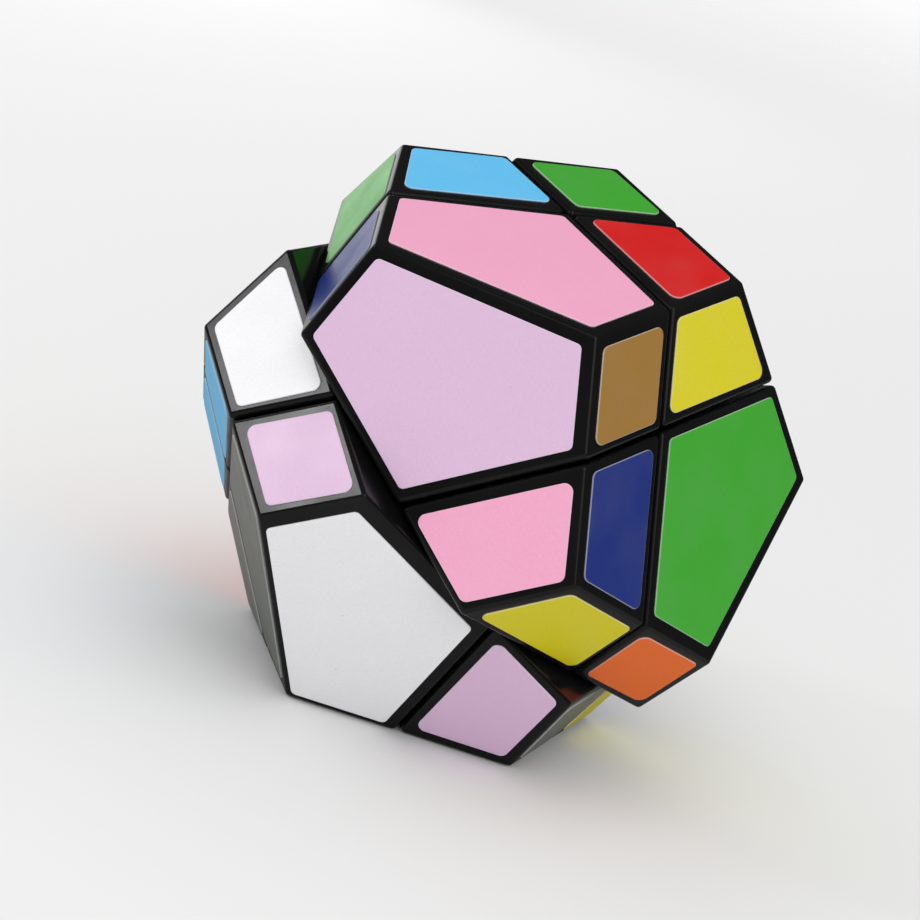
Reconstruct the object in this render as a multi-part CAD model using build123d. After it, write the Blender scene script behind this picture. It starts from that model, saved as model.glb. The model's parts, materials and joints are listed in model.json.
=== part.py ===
from build123d import *
import os
import random
from math import sqrt

# Corner-turning dodecahedral puzzle, standing on one pentagon with its upper half part way
# through a turn. Four cut planes pass through the centre, one for each turning axis. They
# divide the dodecahedron into 4 pivot corners (screwed to the core), 4 loose corners and
# 6 middle pieces. Every face that slides is a plane square to a turning axis or a sphere
# about the centre, so either side of any cut plane can turn about that plane's axis.
#
# Each piece is a hollow cap that is glued on to a foot. Inside FOOT_RADIUS the feet meet
# FOOT_STEP below the cut planes, so a foot on the pole side of a plane reaches under the
# caps on the other side: the pivot corners hold the middle pieces, and those hold the
# loose corners.
#
# Sizes are millimetres. Pieces are built about the puzzle's centre, in the frame of the
# cube that fits inside the dodecahedron, and are then set down on the rest face.

# ---- Driving dimensions ----
FACE_TO_FACE = 76.0          # across two opposite faces, over the stickers
TURN_ANGLE = 26.5            # how far the upper half is turned, degrees

STICKER_THICKNESS = 0.2
LARGE_EDGE_MARGIN = 1.8      # large sticker to an edge of the dodecahedron
LARGE_CUT_MARGIN = 2.0       # large sticker to a cut plane
LARGE_CORNER_RADIUS = 0.9
LARGE_CORNERS = 5            # only the large stickers have this many
SMALL_EDGE_MARGIN = 1.45     # the same margins for the quads and kites
SMALL_CUT_MARGIN = 1.7
SMALL_CORNER_RADIUS = 1.2
PLACING_ERROR = 0.3          # how far off a sticker may be stuck by hand
PLACING_TWIST = 1.2          # and how far askew, degrees
LOW_STICKER = ("middle_piece", 4, "+x+y")   # the large white one is stuck on too low
LOW_STICKER_DROP = 1.2       # by this much
PLACING_SEED = 12

WALL = 2.0                   # wall of a cap
EDGE_RADIUS = 0.75           # rounding along every outer edge of a cap
RUNNING_GAP = 0.25           # from a piece to a cut plane, or to the foot sphere

FOOT_RADIUS = 25.0           # sphere that the feet stay inside and the caps stay outside
FOOT_INNER_RADIUS = 18.0     # sphere that bounds the feet on the inside
FOOT_STEP = 2.5              # how far the feet meet below a cut plane
FLOOR_THICKNESS = 2.5        # plate at the top of a foot that closes its cap
NECK_OVERLAP = 1.0           # how far a foot's neck runs into its sole and its floor
RIM_HEIGHT = 2.0             # locating rim that stands up into the cap
RIM_THICKNESS = 1.2
RIM_GAP = 0.1

SCREW_RADIUS = 1.25
SCREW_HEAD_RADIUS = 2.5
SCREW_HEAD_HEIGHT = 1.9
SCREW_HEAD_ROUNDING = 0.6
SCREW_SLOT_LENGTH = 3.3
SCREW_SLOT_WIDTH = 0.7
SCREW_SLOT_DEPTH = 0.9
SCREW_TIP = 9.0              # distance of the screw's tip from the centre
SCREW_HEAD_SEAT = 28.9       # distance of the underside of the head from the centre
BORE_GAP = 0.1               # around the screw's shank, in the feet and the washers
THREAD_GAP = 0.04            # around the shank, in the core's arms
THREAD_RUN_OUT = 1.0         # from the screw's tip to the end of its hole

WASHER_RADIUS = 2.8
WASHER_THICKNESS = 0.5
SPRING_CUP_RADIUS = 3.0
SPRING_CUP_FLOOR = 21.0      # distance of the cup's floor from the centre
SPRING_COIL_RADIUS = 2.1
SPRING_WIRE_RADIUS = 0.3
SPRING_TURNS = 5
CUP_WALL = 1.2
STACK_GAP = 0.1              # between the faces of cup, spring, washer and screw head

CORE_BALL_RADIUS = 8.5
CORE_ARM_RADIUS = 3.2

# ---- Geometry that follows from them ----
GOLDEN = (1 + sqrt(5)) / 2
OUTER_INRADIUS = FACE_TO_FACE / 2
PLASTIC_INRADIUS = OUTER_INRADIUS - STICKER_THICKNESS
CAP_INNER_RADIUS = FOOT_RADIUS + RUNNING_GAP + FLOOR_THICKNESS
CAP_BLUNT_HEIGHT = CAP_INNER_RADIUS / 3   # where a cap's point is cut off before rounding
RIM_TOP_RADIUS = CAP_INNER_RADIUS + RIM_HEIGHT
WASHER_BOTTOM = SCREW_HEAD_SEAT - STACK_GAP - WASHER_THICKNESS
STOCK = 3 * FACE_TO_FACE     # block that every cut shape starts from
TOUCHING = 0.01              # shorter than any real length or direction in the model
ON_BASE = (Align.CENTER, Align.CENTER, Align.MIN)

# A face is named by the two axes that it leans towards, and a corner of the cube by the
# signs of its x, y and z.
FACES = {}
for first, first_sign in (("+", 1), ("-", -1)):
    for second, second_sign in (("+", 1), ("-", -1)):
        FACES[f"{first}x{second}z"] = Vector(first_sign, 0, second_sign * GOLDEN).normalized()
        FACES[f"{first}y{second}z"] = Vector(0, first_sign * GOLDEN, second_sign).normalized()
        FACES[f"{first}x{second}y"] = Vector(first_sign * GOLDEN, second_sign, 0).normalized()

POLE_AXIS = Vector(-1, 1, 1).normalized()
TURN_AXES = [
    POLE_AXIS,
    Vector(1, -1, 1).normalized(),
    Vector(1, 1, -1).normalized(),
    Vector(-1, -1, -1).normalized(),
]
REST_FACE = "+x-z"
HEADING_EDGE = Vector(0, 1, 0)   # an edge of the rest face
HEADING_TURN = 36.0              # from that edge to the row's X axis, degrees

# ---- The pieces, with the colour of each sticker ----
PIVOT_CORNERS = [
    (TURN_AXES[0], {"-x+z": "red", "+y+z": "yellow", "-x+y": "orange"}),
    (TURN_AXES[1], {"+x+z": "white", "-y+z": "light_green", "+x-y": "sky_blue"}),
    (TURN_AXES[2], {"+x+y": "lilac", "+x-z": "dark_blue", "+y-z": "grey"}),
    (TURN_AXES[3], {"-x-y": "pink", "-x-z": "brown", "-y-z": "green"}),
]
LOOSE_CORNERS = [
    (Vector(1, 1, 1), {"+x+z": "pink", "+x+y": "yellow", "+y+z": "dark_blue"}),
    (Vector(-1, -1, 1), {"-x+z": "sky_blue", "-x-y": "orange", "-y+z": "green"}),
    (Vector(-1, 1, -1), {"-x+y": "lilac", "+y-z": "white", "-x-z": "brown"}),
    (Vector(1, -1, -1), {"+x-y": "grey", "-y-z": "red", "+x-z": "light_green"}),
]
MIDDLE_PIECES = [
    (Vector(0, 0, 1), {"+x+z": "lilac", "+y+z": "brown", "-x+z": "pink", "-y+z": "dark_blue"}),
    (Vector(0, 1, 0), {"+y+z": "green", "+x+y": "orange", "+y-z": "yellow", "-x+y": "pink"}),
    (Vector(-1, 0, 0), {"-x+z": "green", "-x+y": "brown", "-x-z": "white", "-x-y": "sky_blue"}),
    (Vector(1, 0, 0), {"+x+y": "white", "+x+z": "lilac", "+x-y": "grey", "+x-z": "light_green"}),
    (Vector(0, 0, -1), {"+y-z": "yellow", "+x-z": "red", "-y-z": "grey", "-x-z": "dark_blue"}),
    (Vector(0, -1, 0), {"+x-y": "sky_blue", "-y+z": "light_green", "-x-y": "red",
                        "-y-z": "orange"}),
]


# ---- Placing ----
def rest_plane():
    """The plane that the puzzle stands on, in the puzzle's own frame."""
    up = FACES[REST_FACE] * -1
    heading = HEADING_EDGE.rotate(Axis((0, 0, 0), up), HEADING_TURN)
    return Plane(origin=FACES[REST_FACE] * OUTER_INRADIUS, x_dir=heading, z_dir=up)


def is_upper(direction):
    """Whether a piece is on the pole's side, which is the half that is turned."""
    return POLE_AXIS.dot(direction) > 0


def placed(shape, upper):
    """Turn a piece of the upper half, then set the puzzle down on its rest face."""
    if upper:
        shape = shape.rotate(Axis((0, 0, 0), POLE_AXIS), TURN_ANGLE)
    return rest_plane().location.inverse() * shape


def along(axis, shape):
    """Point a shape that was built up +Z along a turning axis."""
    return Plane(origin=(0, 0, 0), z_dir=axis).location * shape


# ---- Shapes bounded by the cut planes ----
def trimmed(solid, normal, distance, keep):
    """The part of a solid on one side of a plane square to normal."""
    return solid.split(Plane(origin=normal * distance, z_dir=normal), keep=keep)


def stock_block():
    return Solid.make_box(STOCK, STOCK, STOCK).moved(Location((-STOCK / 2,) * 3))


def dodecahedron(inradius):
    solid = stock_block()
    for normal in FACES.values():
        solid = trimmed(solid, normal, inradius, Keep.BOTTOM)
    return solid


def wedge(solid, direction, lowest_above, highest_below):
    """Trim a solid to a piece's own side of each cut plane.

    lowest_above bounds it where the piece is on the pole side of a plane, and
    highest_below where it is on the other side. Both are heights along the turning axis.
    """
    for axis in TURN_AXES:
        if axis.dot(direction) > 0:
            solid = trimmed(solid, axis, lowest_above, Keep.TOP)
        else:
            solid = trimmed(solid, axis, highest_below, Keep.BOTTOM)
    return solid


def sphere_shell(inner_radius, outer_radius):
    return Sphere(outer_radius) - Sphere(inner_radius)


# ---- Caps and feet ----
def cap(direction):
    """Hollow moulded cap: the visible plastic of one piece."""
    outside = wedge(dodecahedron(PLASTIC_INRADIUS), direction, RUNNING_GAP, -RUNNING_GAP)
    outward = direction.normalized()
    outside = trimmed(outside, outward, CAP_BLUNT_HEIGHT, Keep.TOP)
    rounded = []
    for edge in outside.edges():
        if edge.center().dot(outward) > CAP_BLUNT_HEIGHT + TOUCHING:
            rounded.append(edge)
    outside = fillet(rounded, EDGE_RADIUS)
    depth = RUNNING_GAP + WALL
    cavity = wedge(dodecahedron(PLASTIC_INRADIUS - WALL), direction, depth, -depth)
    return outside - Sphere(CAP_INNER_RADIUS) - cavity


def locating_rim(direction):
    """Thin rim on the floor of a foot that centres the cap."""
    outer_depth = RUNNING_GAP + WALL + RIM_GAP
    inner_depth = outer_depth + RIM_THICKNESS
    ring = sphere_shell(CAP_INNER_RADIUS - FLOOR_THICKNESS / 2, RIM_TOP_RADIUS)
    outside = wedge(stock_block(), direction, outer_depth, -outer_depth)
    inside = wedge(stock_block(), direction, inner_depth, -inner_depth)
    return (ring & outside) - inside


def foot(direction):
    """Foot, neck and floor of one piece, with the rim that its cap fits over."""
    below = -FOOT_STEP - RUNNING_GAP
    above = -FOOT_STEP + RUNNING_GAP
    sole = sphere_shell(FOOT_INNER_RADIUS, FOOT_RADIUS - RUNNING_GAP)
    sole = sole & wedge(stock_block(), direction, above, below)
    neck = sphere_shell(FOOT_INNER_RADIUS + NECK_OVERLAP, CAP_INNER_RADIUS - NECK_OVERLAP)
    neck = neck & wedge(stock_block(), direction, RUNNING_GAP, below)
    floor = sphere_shell(FOOT_RADIUS + RUNNING_GAP, CAP_INNER_RADIUS)
    floor = floor & wedge(stock_block(), direction, RUNNING_GAP, -RUNNING_GAP)
    return sole + neck + floor + locating_rim(direction)


def pivot_foot(axis):
    """Foot of a pivot corner, bored for the screw and cupped for the spring."""
    boss_bottom = CAP_INNER_RADIUS - NECK_OVERLAP
    boss_height = RIM_TOP_RADIUS - boss_bottom
    boss = Pos(0, 0, boss_bottom) * Cylinder(SPRING_CUP_RADIUS + CUP_WALL, boss_height, align=ON_BASE)
    bore = Cylinder(SCREW_RADIUS + BORE_GAP, SCREW_HEAD_SEAT, align=ON_BASE)
    cup = Pos(0, 0, SPRING_CUP_FLOOR) * Cylinder(SPRING_CUP_RADIUS, FACE_TO_FACE, align=ON_BASE)
    return foot(axis) + along(axis, boss) - along(axis, bore) - along(axis, cup)


# ---- Core and tension parts ----
def core_spider():
    core = Sphere(CORE_BALL_RADIUS)
    arm = Cylinder(CORE_ARM_RADIUS, FOOT_INNER_RADIUS, align=ON_BASE)
    thread = Cylinder(SCREW_RADIUS + THREAD_GAP, FOOT_INNER_RADIUS, align=ON_BASE)
    thread = Pos(0, 0, SCREW_TIP - THREAD_RUN_OUT) * thread
    for axis in TURN_AXES:
        core += along(axis, arm)
    core = core & Sphere(FOOT_INNER_RADIUS - RUNNING_GAP)
    for axis in TURN_AXES:
        core -= along(axis, thread)
    return core


def tension_screw():
    """Pan-head screw with a cross slot, built up +Z."""
    shank = Cylinder(SCREW_RADIUS, SCREW_HEAD_SEAT - SCREW_TIP, align=ON_BASE)
    head = Cylinder(SCREW_HEAD_RADIUS, SCREW_HEAD_HEIGHT, align=ON_BASE)
    head = fillet(head.edges().group_by(Axis.Z)[-1], SCREW_HEAD_ROUNDING)
    slot = Box(SCREW_SLOT_LENGTH, SCREW_SLOT_WIDTH, SCREW_SLOT_DEPTH, align=ON_BASE)
    slot = Pos(0, 0, SCREW_HEAD_HEIGHT - SCREW_SLOT_DEPTH) * slot
    head = head - slot - Rot(0, 0, 90) * slot
    return Pos(0, 0, SCREW_TIP) * shank + Pos(0, 0, SCREW_HEAD_SEAT) * head


def tension_washer():
    disc = Cylinder(WASHER_RADIUS, WASHER_THICKNESS, align=ON_BASE)
    hole = Cylinder(SCREW_RADIUS + BORE_GAP, WASHER_THICKNESS, align=ON_BASE)
    return Pos(0, 0, WASHER_BOTTOM) * (disc - hole)


def tension_spring():
    """Coil spring between the floor of the cup and the washer."""
    bottom = SPRING_CUP_FLOOR + STACK_GAP + SPRING_WIRE_RADIUS
    top = WASHER_BOTTOM - STACK_GAP - SPRING_WIRE_RADIUS
    height = top - bottom
    path = Helix(height / SPRING_TURNS, height, SPRING_COIL_RADIUS)
    wire = Plane(origin=path @ 0, z_dir=path % 0) * Circle(SPRING_WIRE_RADIUS)
    return Pos(0, 0, bottom) * sweep(wire, path=path, is_frenet=True)


# ---- Stickers ----
def clipped(points, normal, limit):
    """The part of a convex outline where the point's height along normal is within limit."""
    kept = []
    for start, end in zip(points, points[1:] + points[:1]):
        over_start = start.dot(normal) - limit
        over_end = end.dot(normal) - limit
        if over_start <= 0:
            kept.append(start)
        if over_start * over_end < 0:
            kept.append(start + (end - start) * (over_start / (over_start - over_end)))
    return kept


def sticker_outline(face, direction, plane, edge_margin, cut_margin):
    """Corners of a sticker, in the plane of its face, set in from the edges of its piece."""
    bounds = [(normal, PLASTIC_INRADIUS, edge_margin) for normal in FACES.values()]
    for axis in TURN_AXES:
        away = axis if axis.dot(direction) < 0 else axis * -1
        bounds.append((away, 0, cut_margin))
    corners = [(-STOCK, -STOCK), (STOCK, -STOCK), (STOCK, STOCK), (-STOCK, STOCK)]
    outline = [Vector(*corner) for corner in corners]
    for normal, distance, margin in bounds:
        flat = Vector(normal.dot(plane.x_dir), normal.dot(plane.y_dir))
        if flat.length > TOUCHING:
            limit = (distance - normal.dot(plane.origin)) / flat.length
            outline = clipped(outline, flat.normalized(), limit - margin)
    return outline


def sticker(face, direction, placing):
    """Sticker of one piece on one face: round corners, and a little off its true place."""
    normal = FACES[face]
    round_the_pole = POLE_AXIS.cross(normal).normalized()
    plane = Plane(origin=normal * PLASTIC_INRADIUS, x_dir=round_the_pole, z_dir=normal)
    outline = sticker_outline(face, direction, plane, LARGE_EDGE_MARGIN, LARGE_CUT_MARGIN)
    radius = LARGE_CORNER_RADIUS
    if len(outline) < LARGE_CORNERS:
        outline = sticker_outline(face, direction, plane, SMALL_EDGE_MARGIN, SMALL_CUT_MARGIN)
        radius = SMALL_CORNER_RADIUS
    sketch = make_face(Polyline(*outline, close=True))
    sketch = fillet(sketch.vertices(), radius)
    across, poleward, twist = placing
    middle = sketch.center()
    moved = Pos(across, poleward) * Pos(*middle) * Rot(0, 0, twist) * Pos(*(middle * -1)) * sketch
    return extrude(plane * moved, amount=STICKER_THICKNESS, dir=normal)


# ---- Writing the nodes ----
def write(node, solids):
    shape = solids[0] if len(solids) == 1 else Compound(children=solids)
    export_step(shape, f"parts/{node}.step")


def solids_of(shape):
    return list(shape.solids())


def main():
    os.makedirs("parts", exist_ok=True)
    stickers = {}
    hand = random.Random(PLACING_SEED)
    families = [
        ("pivot_corner", PIVOT_CORNERS, pivot_foot),
        ("loose_corner", LOOSE_CORNERS, foot),
        ("middle_piece", MIDDLE_PIECES, foot),
    ]
    for family, pieces, make_foot in families:
        for number, (direction, colours) in enumerate(pieces, start=1):
            upper = is_upper(direction)
            write(f"{family}_cap_{number}", solids_of(placed(cap(direction), upper)))
            write(f"{family}_foot_{number}", solids_of(placed(make_foot(direction), upper)))
            half = "upper" if upper else "lower"
            for face, colour in colours.items():
                placing = (
                    hand.uniform(-PLACING_ERROR, PLACING_ERROR),
                    hand.uniform(-PLACING_ERROR, PLACING_ERROR),
                    hand.uniform(-PLACING_TWIST, PLACING_TWIST),
                )
                if (family, number, face) == LOW_STICKER:
                    placing = (0, -LOW_STICKER_DROP, 0)
                group = stickers.setdefault(f"sticker_{colour}_{half}", [])
                group += solids_of(placed(sticker(face, direction, placing), upper))
    for node, solids in stickers.items():
        write(node, solids)

    write("core_spider", solids_of(placed(core_spider(), False)))
    screws = [placed(along(axis, tension_screw()), False) for axis in TURN_AXES]
    write("tension_screws", [solid for screw in screws for solid in screw.solids()])
    for name, make in (("washer", tension_washer), ("spring", tension_spring)):
        fixed = [placed(along(axis, make()), False) for axis in TURN_AXES[1:]]
        write(f"tension_{name}s", [solid for shape in fixed for solid in shape.solids()])
        write(f"turned_{name}", solids_of(placed(along(POLE_AXIS, make()), False)))


main()
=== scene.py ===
import json
import math

import bmesh
import bpy
from mathutils import Matrix, Vector


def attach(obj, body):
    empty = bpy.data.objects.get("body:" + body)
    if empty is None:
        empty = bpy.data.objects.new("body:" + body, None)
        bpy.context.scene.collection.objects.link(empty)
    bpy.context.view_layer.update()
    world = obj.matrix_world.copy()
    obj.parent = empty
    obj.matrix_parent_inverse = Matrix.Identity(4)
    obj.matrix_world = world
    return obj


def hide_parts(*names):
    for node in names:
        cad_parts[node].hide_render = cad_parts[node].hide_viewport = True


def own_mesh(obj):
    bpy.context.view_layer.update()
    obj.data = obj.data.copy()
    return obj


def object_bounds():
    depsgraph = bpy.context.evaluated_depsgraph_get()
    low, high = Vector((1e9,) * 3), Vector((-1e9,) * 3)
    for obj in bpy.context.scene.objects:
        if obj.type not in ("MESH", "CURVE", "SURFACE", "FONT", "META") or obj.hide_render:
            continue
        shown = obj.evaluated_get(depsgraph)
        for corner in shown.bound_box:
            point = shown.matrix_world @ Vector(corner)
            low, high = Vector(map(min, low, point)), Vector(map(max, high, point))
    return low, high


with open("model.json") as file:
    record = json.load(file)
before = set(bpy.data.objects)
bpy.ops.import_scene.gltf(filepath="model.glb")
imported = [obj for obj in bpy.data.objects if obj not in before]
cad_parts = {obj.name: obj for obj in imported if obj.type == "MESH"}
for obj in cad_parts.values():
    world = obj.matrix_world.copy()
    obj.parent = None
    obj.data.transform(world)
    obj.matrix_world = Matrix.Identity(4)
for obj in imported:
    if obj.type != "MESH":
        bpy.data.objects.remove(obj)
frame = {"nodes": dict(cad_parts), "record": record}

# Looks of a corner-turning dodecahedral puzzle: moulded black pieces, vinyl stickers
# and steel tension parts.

CAD_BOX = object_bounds()
BEHAVIOUR = frame["record"]["behaviour"]
BODY_OF = {node: body for body, nodes in BEHAVIOUR["bodies"].items() for node in nodes}

MM = 0.001
CENTRE = Vector((0, 0, 38 * MM))   # where the four cut planes cross

# ---- Camera: the puzzle held level with the eye, tipped to the right ----
CAMERA_AZIMUTH = 0.0        # degrees round from the -Y side
CAMERA_ELEVATION = 14.7     # degrees above the floor
CAMERA_ROLL = 17.74         # degrees, clockwise lean of the puzzle in the picture
CAMERA_DISTANCE = 436.4 * MM
CAMERA_AIM = Vector((-3.39, -0.7, 35.82)) * MM
CAMERA_NEAR = 10 * MM       # nothing nearer than this is drawn
SENSOR_WIDTH = 36.0
LENS = 114.2

# ---- Stage and light ----
FLOOR_RADIUS = 3.0
FLOOR_SIDES = 96
FLOOR_FADE = (0.25, 1.8)     # the floor melts into the backdrop between these distances
FLOOR_ROUGHNESS = 0.85
FLOOR_TONE = (0.80, 0.80, 0.80, 1)            # for the light that it throws back up
FLOOR_TONE_SEEN = (0.78, 0.78, 0.78, 1)
FLOOR_TONE_MIRRORED = (0.25, 0.25, 0.25, 1)   # what glossy surfaces show of it
ROOM_LIGHT = 0.99            # even light from all sides
ROOM_MIRRORED = 0.05         # how much of the room shows in glossy surfaces
ROOM_SEEN = 0.97             # the backdrop
LIGHT_DISTANCE = 0.9         # from the puzzle's centre

# ---- Meshes ----
WELD = 0.001 * MM            # corners closer than this are one corner
SHARP_ABOVE = math.radians(50)
FLAT_WITH = 0.999            # cosine, for faces that lie in the same plane

# ---- Sticker film ----
FILM_THICKNESS = 0.2 * MM
# (how far in from the outline, height above the plastic) from the foot of the cut edge inwards
FILM_RINGS = (
    (0.00 * MM, 0.0),
    (0.00 * MM, 0.6 * FILM_THICKNESS),
    (0.04 * MM, 0.85 * FILM_THICKNESS),
    (0.12 * MM, 1.0 * FILM_THICKNESS),
    (0.16 * MM, 1.0 * FILM_THICKNESS),
)
RIM_RINGS = 3               # rings from the foot inwards that count as cut edge

# ---- Tension spring of the turned half, measured from the puzzle's centre ----
COIL_BOTTOM = 21.4 * MM     # middle of the wire above the cup's floor
COIL_TOP = 27.9 * MM        # middle of the wire under the washer
COIL_RISE = COIL_TOP - COIL_BOTTOM
COIL_RADIUS = 2.1 * MM
COIL_TURNS = 5
WIRE_RADIUS = 0.3 * MM
STEPS_PER_TURN = 36
WIRE_SIDES = 12

# ---- Materials: linear colours, and (least, most) for what varies over a surface ----
MOST_NOISE = (0.3, 0.7)     # nearly all of a noise texture's values lie between these
PLASTIC_TONES = ((0.0035, 0.0035, 0.0038, 1), (0.0070, 0.0070, 0.0074, 1))
# lighter tone for convex edges: partly rubbed wear, partly a painted highlight standing in for the
# light strips on rounded edges
PLASTIC_RUBBED_AND_HIGHLIT = (0.022, 0.022, 0.023, 1)
PLASTIC_RUB_AND_HIGHLIGHT_RADIUS = 0.9 * MM
PLASTIC_ROUGHNESS = (0.15, 0.25)
PLASTIC_IOR = 1.43
VINYL_DARK = 0.965          # mottle, as a share of the sticker's own colour
VINYL_LIGHT = 1.035
VINYL_HAZE = (0.75, 0.75, 0.77, 1)
VINYL_DUST = (0.12, 0.11, 0.10, 1)
VINYL_ROUGHNESS = (0.28, 0.40)
CUT_EDGE_SHARE = 0.60       # of the sticker's own colour in its cut edge
CUT_EDGE_WHITE = 0.30       # and white on top of that
NYLON_TONES = ((0.50, 0.50, 0.47, 1), (0.62, 0.61, 0.58, 1))
NYLON_RUBBED = (0.72, 0.71, 0.69, 1)
NYLON_RUB_RADIUS = 0.3 * MM
NYLON_ROUGHNESS = (0.42, 0.56)
SCREW_TONE = (0.56, 0.56, 0.58)
SCREW_ROUGHNESS = 0.24
WIRE_TONE = (0.50, 0.50, 0.50)
WIRE_ROUGHNESS = 0.20
STEEL_ROUGHNESS_SPREAD = 0.15
STEEL_RUB_RADIUS = 0.15 * MM

STICKER_COLOURS = {         # sRGB
    "white": (233, 233, 235),
    "lilac": (214, 181, 211),
    "pink": (235, 163, 194),
    "sky_blue": (94, 188, 235),
    "dark_blue": (25, 46, 123),
    "green": (60, 165, 44),
    "light_green": (150, 203, 50),
    "yellow": (213, 202, 16),
    "orange": (232, 104, 22),
    "red": (209, 12, 12),
    "brown": (156, 115, 51),
    "grey": (118, 121, 114),
}


# ---- Shader helpers ----
def linear(rgb):
    """sRGB 0-255 to linear."""
    channels = []
    for value in rgb:
        value /= 255
        channels.append(value / 12.92 if value <= 0.04045 else ((value + 0.055) / 1.055) ** 2.4)
    return (*channels, 1.0)


def shade(colour, share, white=0.0):
    """A share of a colour, with some white added."""
    return (*(min(1.0, share * channel + white) for channel in colour[:3]), 1.0)


class Shader:
    """Short names for the nodes that the materials are made of."""

    def __init__(self, name):
        self.material = bpy.data.materials.new(name)
        self.material.use_nodes = True
        self.tree = self.material.node_tree
        self.surface = self.tree.nodes["Principled BSDF"]
        coordinates = self.tree.nodes.new("ShaderNodeTexCoord")
        self.position = coordinates.outputs["Object"]

    def link(self, source, target):
        if hasattr(source, "is_output"):
            self.tree.links.new(source, target)
        else:
            target.default_value = source

    def set(self, **inputs):
        for name, value in inputs.items():
            self.link(value, self.surface.inputs[name.replace("_", " ")])

    def noise(self, scale, detail=3.0, roughness=0.55, distortion=0.0, position=None):
        node = self.tree.nodes.new("ShaderNodeTexNoise")
        node.inputs["Scale"].default_value = scale
        node.inputs["Detail"].default_value = detail
        node.inputs["Roughness"].default_value = roughness
        node.inputs["Distortion"].default_value = distortion
        self.link(position or self.position, node.inputs["Vector"])
        return node.outputs["Fac"]

    def cells(self, scale):
        """Distance to the nearest of many scattered points."""
        node = self.tree.nodes.new("ShaderNodeTexVoronoi")
        node.inputs["Scale"].default_value = scale
        self.link(self.position, node.inputs["Vector"])
        return node.outputs["Distance"]

    def stretched(self, scale, turn):
        """The position, stretched and turned: for streaks and scratches."""
        node = self.tree.nodes.new("ShaderNodeMapping")
        node.inputs["Scale"].default_value = scale
        node.inputs["Rotation"].default_value = [math.radians(angle) for angle in turn]
        self.link(self.position, node.inputs["Vector"])
        return node.outputs["Vector"]

    def remap(self, value, old, new=(0.0, 1.0)):
        """The value, moved from one (low, high) range to another and held within it."""
        node = self.tree.nodes.new("ShaderNodeMapRange")
        self.link(value, node.inputs["Value"])
        for name, number in zip(("From Min", "From Max", "To Min", "To Max"), (*old, *new)):
            node.inputs[name].default_value = number
        return node.outputs["Result"]

    def maths(self, operation, first, second):
        node = self.tree.nodes.new("ShaderNodeMath")
        node.operation = operation
        self.link(first, node.inputs[0])
        self.link(second, node.inputs[1])
        return node.outputs["Value"]

    def mix(self, factor, first, second):
        node = self.tree.nodes.new("ShaderNodeMix")
        node.data_type = "RGBA"
        self.link(factor, node.inputs["Factor"])
        self.link(first, node.inputs["A"])
        self.link(second, node.inputs["B"])
        return node.outputs["Result"]

    def attribute(self, name):
        node = self.tree.nodes.new("ShaderNodeAttribute")
        node.attribute_name = name
        return node.outputs["Fac"]

    def bump(self, layers):
        """Stack of (height, strength, distance in metres)."""
        normal = None
        for height, strength, distance in layers:
            node = self.tree.nodes.new("ShaderNodeBump")
            node.inputs["Strength"].default_value = strength
            node.inputs["Distance"].default_value = distance
            self.link(height, node.inputs["Height"])
            if normal is not None:
                self.link(normal, node.inputs["Normal"])
            normal = node.outputs["Normal"]
        return normal

    def convex_edges(self, radius):
        """1 on sharp convex edges and 0 on the flats, from how far a bevelled normal turns."""
        bevel = self.tree.nodes.new("ShaderNodeBevel")
        bevel.samples = 4
        bevel.inputs["Radius"].default_value = radius
        geometry = self.tree.nodes.new("ShaderNodeNewGeometry")
        dot = self.tree.nodes.new("ShaderNodeVectorMath")
        dot.operation = "DOT_PRODUCT"
        self.link(bevel.outputs["Normal"], dot.inputs[0])
        self.link(geometry.outputs["Normal"], dot.inputs[1])
        return self.remap(dot.outputs["Value"], (1.0, 0.9))


# ---- Materials ----
def black_plastic():
    """Satin injection-moulded plastic: fine spark-eroded grain, handling smears, and convex edges
    lightened partly as rubbed wear and partly as a painted edge highlight.
    """
    shader = Shader("moulded_black_plastic")
    smears = shader.noise(scale=70, detail=4, distortion=0.6)
    grain = shader.noise(scale=5200, detail=2)
    peel = shader.noise(scale=420, detail=2)
    streaks = shader.stretched(scale=(1, 26, 14), turn=(20, 35, 50))
    scratches = shader.noise(scale=60, detail=6, roughness=0.75, position=streaks)
    scratch_lines = shader.remap(scratches, (0.62, 0.70))
    tone = shader.mix(smears, *PLASTIC_TONES)
    edges = shader.convex_edges(PLASTIC_RUB_AND_HIGHLIGHT_RADIUS)
    # edge lightening of the black plastic: partly rubbed wear, partly a painted edge highlight
    lightened_edges = shader.maths("MULTIPLY", edges, shader.remap(smears, (0.4, 0.7), (0.2, 1.0)))
    shader.set(
        Base_Color=shader.mix(shader.maths("MULTIPLY", lightened_edges, 0.35), tone, PLASTIC_RUBBED_AND_HIGHLIT),
        Roughness=shader.maths(
            "ADD",
            shader.remap(smears, MOST_NOISE, PLASTIC_ROUGHNESS),
            shader.maths("MULTIPLY", scratch_lines, 0.08),
        ),
        Normal=shader.bump([
            (peel, 0.12, 0.05 * MM),
            (grain, 0.25, 0.006 * MM),
            (scratch_lines, 0.06, 0.01 * MM),
        ]),
        IOR=PLASTIC_IOR,
    )
    return shader.material


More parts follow.
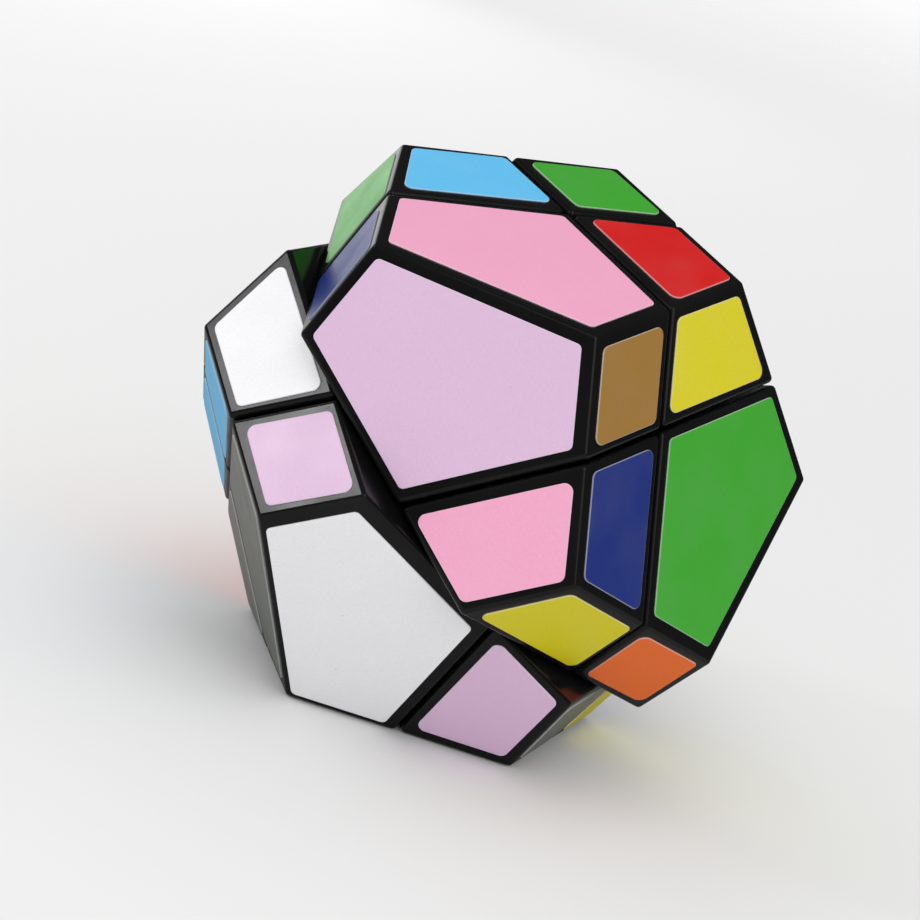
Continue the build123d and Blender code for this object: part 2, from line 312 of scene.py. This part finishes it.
def vinyl_film(colour):
    """Printed vinyl: faint mottle, soft dents from handling, dust specks, pale cut edge."""
    shader = Shader(f"vinyl_{colour}")
    base = linear(STICKER_COLOURS[colour])
    mottle = shader.noise(scale=3600, detail=3, roughness=0.7)
    cloud = shader.noise(scale=120, detail=3)
    dents = shader.noise(scale=260, detail=2)
    specks = shader.remap(shader.cells(scale=330), (0.035, 0.05), (1.0, 0.0))
    dust = shader.maths("MULTIPLY", specks, shader.remap(shader.noise(scale=900), (0.56, 0.6)))
    ink = shader.mix(
        shader.remap(mottle, (0.35, 0.65)),
        shade(base, VINYL_DARK),
        shade(base, VINYL_LIGHT, white=0.001),
    )
    haze = shader.maths("MULTIPLY", shader.remap(cloud, (0.4, 0.7)), 0.012)
    hazy = shader.mix(haze, ink, VINYL_HAZE)
    speckled = shader.mix(shader.maths("MULTIPLY", dust, 0.35), hazy, VINYL_DUST)
    pale = shade(base, CUT_EDGE_SHARE, white=CUT_EDGE_WHITE)
    shader.set(
        Base_Color=shader.mix(shader.attribute("cut_edge"), speckled, pale),
        Roughness=shader.remap(cloud, MOST_NOISE, VINYL_ROUGHNESS),
        Normal=shader.bump([
            (dents, 0.10, 0.03 * MM),
            (mottle, 0.08, 0.003 * MM),
        ]),
    )
    return shader.material


def core_nylon():
    """Pale moulded nylon of the core."""
    shader = Shader("moulded_nylon")
    cloud = shader.noise(scale=150, detail=3)
    grain = shader.noise(scale=4000, detail=2)
    tone = shader.mix(cloud, *NYLON_TONES)
    lightened_edges = shader.maths("MULTIPLY", shader.convex_edges(NYLON_RUB_RADIUS), 0.5)
    shader.set(
        Base_Color=shader.mix(lightened_edges, tone, NYLON_RUBBED),
        Roughness=shader.remap(cloud, MOST_NOISE, NYLON_ROUGHNESS),
        Normal=shader.bump([(grain, 0.25, 0.01 * MM)]),
    )
    return shader.material


def turned_steel(name, tone, roughness):
    """Plated steel with fine drawing marks and brighter edges."""
    shader = Shader(name)
    drawn = shader.stretched(scale=(1, 1, 12), turn=(0, 40, 20))
    marks = shader.noise(scale=900, detail=4, position=drawn)
    plating = shader.mix(marks, shade(tone, 0.8), shade(tone, 1.0))
    lightened_edges = shader.convex_edges(STEEL_RUB_RADIUS)
    shader.set(
        Base_Color=shader.mix(lightened_edges, plating, shade(tone, 1.3)),
        Metallic=1.0,
        Roughness=shader.maths(
            "SUBTRACT",
            shader.remap(marks, MOST_NOISE, (roughness, roughness + STEEL_ROUGHNESS_SPREAD)),
            shader.maths("MULTIPLY", lightened_edges, 0.08),
        ),
        Normal=shader.bump([(marks, 0.2, 0.004 * MM)]),
    )
    return shader.material


# ---- Mesh helpers ----
def join_rings(mesh, rings):
    """Quads between each closed ring of vertices and the next."""
    for lower, upper in zip(rings, rings[1:]):
        for index in range(len(lower)):
            following = (index + 1) % len(lower)
            mesh.faces.new((lower[index], lower[following], upper[following], upper[index]))


def new_object(name, made):
    """Object in the scene from a finished bmesh, which is freed."""
    data = bpy.data.meshes.new(name)
    made.to_mesh(data)
    made.free()
    placed = bpy.data.objects.new(name, data)
    bpy.context.scene.collection.objects.link(placed)
    return placed


def smooth_object(name, made):
    """The same, shaded smooth between its sharp edges."""
    placed = new_object(name, made)
    for polygon in placed.data.polygons:
        polygon.use_smooth = True
    placed.data.set_sharp_from_angle(angle=SHARP_ABOVE)
    return placed


# ---- Sticker film as geometry ----
def islands(mesh):
    """Groups of faces that hang together."""
    left = set(mesh.faces)
    while left:
        group = {left.pop()}
        edge_of_group = list(group)
        while edge_of_group:
            face = edge_of_group.pop()
            for edge in face.edges:
                for neighbour in edge.link_faces:
                    if neighbour in left:
                        left.discard(neighbour)
                        group.add(neighbour)
                        edge_of_group.append(neighbour)
        yield group


def outward_area(face):
    """Area of a face, or 0 if it looks towards the puzzle's centre."""
    looks_out = face.normal.dot(face.calc_center_median() - CENTRE) > 0
    return face.calc_area() if looks_out else 0


def outer_outline(faces):
    """(outline, normal) of a plate's face that looks away from the puzzle's centre."""
    normal = max(faces, key=outward_area).normal.copy()
    top = {face for face in faces if face.normal.dot(normal) > FLAT_WITH}
    border = {}
    for face in top:
        for loop in face.loops:
            if not any(other in top for other in loop.edge.link_faces if other is not face):
                border[loop.vert] = loop.link_loop_next.vert
    start = next(iter(border))
    outline = [start.co.copy()]
    vertex = border[start]
    while vertex is not start:
        outline.append(vertex.co.copy())
        vertex = border[vertex]
    return outline, normal


def inward_directions(outline, normal):
    """For each corner of a convex outline, the step that moves both its edges in by one unit."""
    steps = []
    for index, point in enumerate(outline):
        before = (point - outline[index - 1]).normalized()
        after = (outline[(index + 1) % len(outline)] - point).normalized()
        first = normal.cross(before)
        second = normal.cross(after)
        steps.append((first + second) / (1 + first.dot(second)))
    return steps


def add_film(mesh, rim_layer, outline, normal):
    """One closed sticker with a softened cut edge."""
    steps = inward_directions(outline, normal)
    foot = [point - normal * FILM_THICKNESS for point in outline]
    rings = []
    for number, (inset, height) in enumerate(FILM_RINGS):
        ring = [
            mesh.verts.new(point + step * inset + normal * height)
            for point, step in zip(foot, steps)
        ]
        for vertex in ring:
            vertex[rim_layer] = 1.0 if number < RIM_RINGS else 0.0
        rings.append(ring)
    join_rings(mesh, rings)
    mesh.faces.new(rings[-1])
    mesh.faces.new(list(reversed(rings[0])))


def film_piece(node):
    """The stickers of one CAD node, rebuilt with a softened, pale cut edge."""
    source = bmesh.new()
    source.from_mesh(frame["nodes"][node].data)
    bmesh.ops.remove_doubles(source, verts=source.verts, dist=WELD)
    source.normal_update()
    made = bmesh.new()
    rim_layer = made.verts.layers.float.new("cut_edge")
    for faces in islands(source):
        add_film(made, rim_layer, *outer_outline(faces))
    source.free()
    return smooth_object(node.replace("sticker", "film"), made)


def dress_stickers():
    materials = {colour: vinyl_film(colour) for colour in STICKER_COLOURS}
    for node in sorted(name for name in frame["nodes"] if name.startswith("sticker_")):
        colour = node.removeprefix("sticker_").rsplit("_", 1)[0]
        piece = film_piece(node)
        piece.data.materials.append(materials[colour])
        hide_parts(node)
        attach(piece, BODY_OF[node])


# ---- Spring of the turned half: the real one shortens as the half lifts, here it is one fixed coil ----
def swept_coil(name, axis):
    """Round wire wound about an axis through the puzzle's centre, from the cup to the washer."""
    side = axis.orthogonal().normalized()
    across = axis.cross(side)
    slope = COIL_RISE / (COIL_TURNS * 2 * math.pi * COIL_RADIUS)
    steps = COIL_TURNS * STEPS_PER_TURN
    corners = [2 * math.pi * corner / WIRE_SIDES for corner in range(WIRE_SIDES)]
    made = bmesh.new()
    rings = []
    for step in range(steps + 1):
        angle = 2 * math.pi * step / STEPS_PER_TURN
        outward = side * math.cos(angle) + across * math.sin(angle)
        forward = across * math.cos(angle) - side * math.sin(angle)
        upward = outward.cross((forward + axis * slope).normalized())
        height = COIL_BOTTOM + COIL_RISE * (step / steps)
        middle = CENTRE + axis * height + outward * COIL_RADIUS
        rings.append([
            made.verts.new(middle + (outward * math.cos(turn) + upward * math.sin(turn)) * WIRE_RADIUS)
            for turn in corners
        ])
    join_rings(made, rings)
    made.faces.new(rings[0])
    made.faces.new(rings[-1])
    bmesh.ops.recalc_face_normals(made, faces=made.faces)
    return smooth_object(name, made)


def dress_turned_spring(material):
    lift = next(joint for joint in BEHAVIOUR["joints"] if joint["name"] == "half_lift")
    axis = Vector(lift["axis"]).normalized()
    coil = swept_coil("turned_coil", axis)
    coil.data.materials.append(material)
    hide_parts("turned_spring")
    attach(coil, BODY_OF["turned_spring"])
    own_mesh(coil)


def dress_cad_nodes():
    black = black_plastic()
    nylon = core_nylon()
    screw = turned_steel("zinc_plated_steel", SCREW_TONE, SCREW_ROUGHNESS)
    wire = turned_steel("spring_wire", WIRE_TONE, WIRE_ROUGHNESS)
    for name, node in frame["nodes"].items():
        if name.startswith("sticker_"):
            continue
        if "_cap_" in name or "_foot_" in name:
            material = black
        elif name == "core_spider":
            material = nylon
        elif name.endswith(("spring", "springs")):
            material = wire
        else:
            material = screw
        node.data.materials.clear()
        node.data.materials.append(material)
    dress_turned_spring(wire)


# ---- Stage, light and camera ----
def pale_floor():
    """A plain pale floor that melts into the backdrop far from the puzzle."""
    made = bmesh.new()
    bmesh.ops.create_circle(made, cap_ends=True, segments=FLOOR_SIDES, radius=FLOOR_RADIUS)
    floor = new_object("floor", made)
    floor.location.z = CAD_BOX[0].z
    shader = Shader("pale_floor")
    distance = shader.tree.nodes.new("ShaderNodeVectorMath")
    distance.operation = "LENGTH"
    shader.link(shader.position, distance.inputs[0])
    ray = shader.tree.nodes.new("ShaderNodeLightPath")
    tone = shader.mix(ray.outputs["Is Camera Ray"], FLOOR_TONE, FLOOR_TONE_SEEN)
    shader.set(
        Base_Color=shader.mix(ray.outputs["Is Glossy Ray"], tone, FLOOR_TONE_MIRRORED),
        Roughness=FLOOR_ROUGHNESS,
        Alpha=shader.remap(distance.outputs["Value"], FLOOR_FADE, (1.0, 0.0)),
    )
    floor.data.materials.append(shader.material)


def backdrop_world():
    """White room: even light, little of it mirrored, and a pale backdrop for the camera."""
    world = bpy.data.worlds.new("white_room")
    bpy.context.scene.world = world
    world.use_nodes = True
    world.cycles.sampling_method = "NONE"   # so that mirrored and even light can differ
    nodes, links = world.node_tree.nodes, world.node_tree.links
    ray = nodes.new("ShaderNodeLightPath")
    level = None
    for output, strength in (("Is Glossy Ray", ROOM_MIRRORED), ("Is Camera Ray", ROOM_SEEN)):
        mix = nodes.new("ShaderNodeMix")
        links.new(ray.outputs[output], mix.inputs["Factor"])
        mix.inputs["A"].default_value = ROOM_LIGHT
        if level is not None:
            links.new(level, mix.inputs["A"])
        mix.inputs["B"].default_value = strength
        level = mix.outputs["Result"]
    links.new(level, nodes["Background"].inputs["Strength"])
    nodes["Background"].inputs["Color"].default_value = (1, 1, 1, 1)


def direction(azimuth, elevation):
    """Unit vector away from the puzzle. Azimuth 0 is the camera's side and 90 its right."""
    turn, rise = math.radians(azimuth), math.radians(elevation)
    level = math.cos(rise)
    return Vector((math.sin(turn) * level, -math.cos(turn) * level, math.sin(rise)))


def soft_light(name, azimuth, elevation, size, power):
    """Square area light that faces the puzzle."""
    away = direction(azimuth, elevation)
    data = bpy.data.lights.new(name, "AREA")
    data.size = size
    data.energy = power
    light = bpy.data.objects.new(name, data)
    light.visible_camera = False
    light.location = CENTRE + away * LIGHT_DISTANCE
    light.rotation_euler = (-away).to_track_quat("-Z", "Y").to_euler()
    bpy.context.scene.collection.objects.link(light)


def camera():
    back = direction(CAMERA_AZIMUTH, CAMERA_ELEVATION)
    roll = math.radians(CAMERA_ROLL)
    level_right = (-back).cross(Vector((0, 0, 1))).normalized()
    level_up = level_right.cross(-back)
    right = level_right * math.cos(roll) + level_up * math.sin(roll)
    up = level_up * math.cos(roll) - level_right * math.sin(roll)
    data = bpy.data.cameras.new("camera")
    data.sensor_width = SENSOR_WIDTH
    data.lens = LENS
    data.clip_start = CAMERA_NEAR
    eye = bpy.data.objects.new("camera", data)
    place = Matrix.Translation(CAMERA_AIM + back * CAMERA_DISTANCE)
    eye.matrix_world = place @ Matrix((right, up, back)).transposed().to_4x4()
    bpy.context.scene.collection.objects.link(eye)
    bpy.context.scene.camera = eye


dress_cad_nodes()
dress_stickers()
pale_floor()
backdrop_world()
soft_light("window", azimuth=-76, elevation=27, size=0.12, power=0.55)
soft_light("left_wall", azimuth=-118, elevation=18, size=0.5, power=0.35)
soft_light("far_wall", azimuth=-157, elevation=8, size=0.5, power=0.95)
soft_light("front", azimuth=12, elevation=32, size=0.6, power=0.90)
soft_light("above", azimuth=0, elevation=55, size=0.6, power=0.55)
camera()
bpy.context.scene.view_settings.view_transform = "Standard"
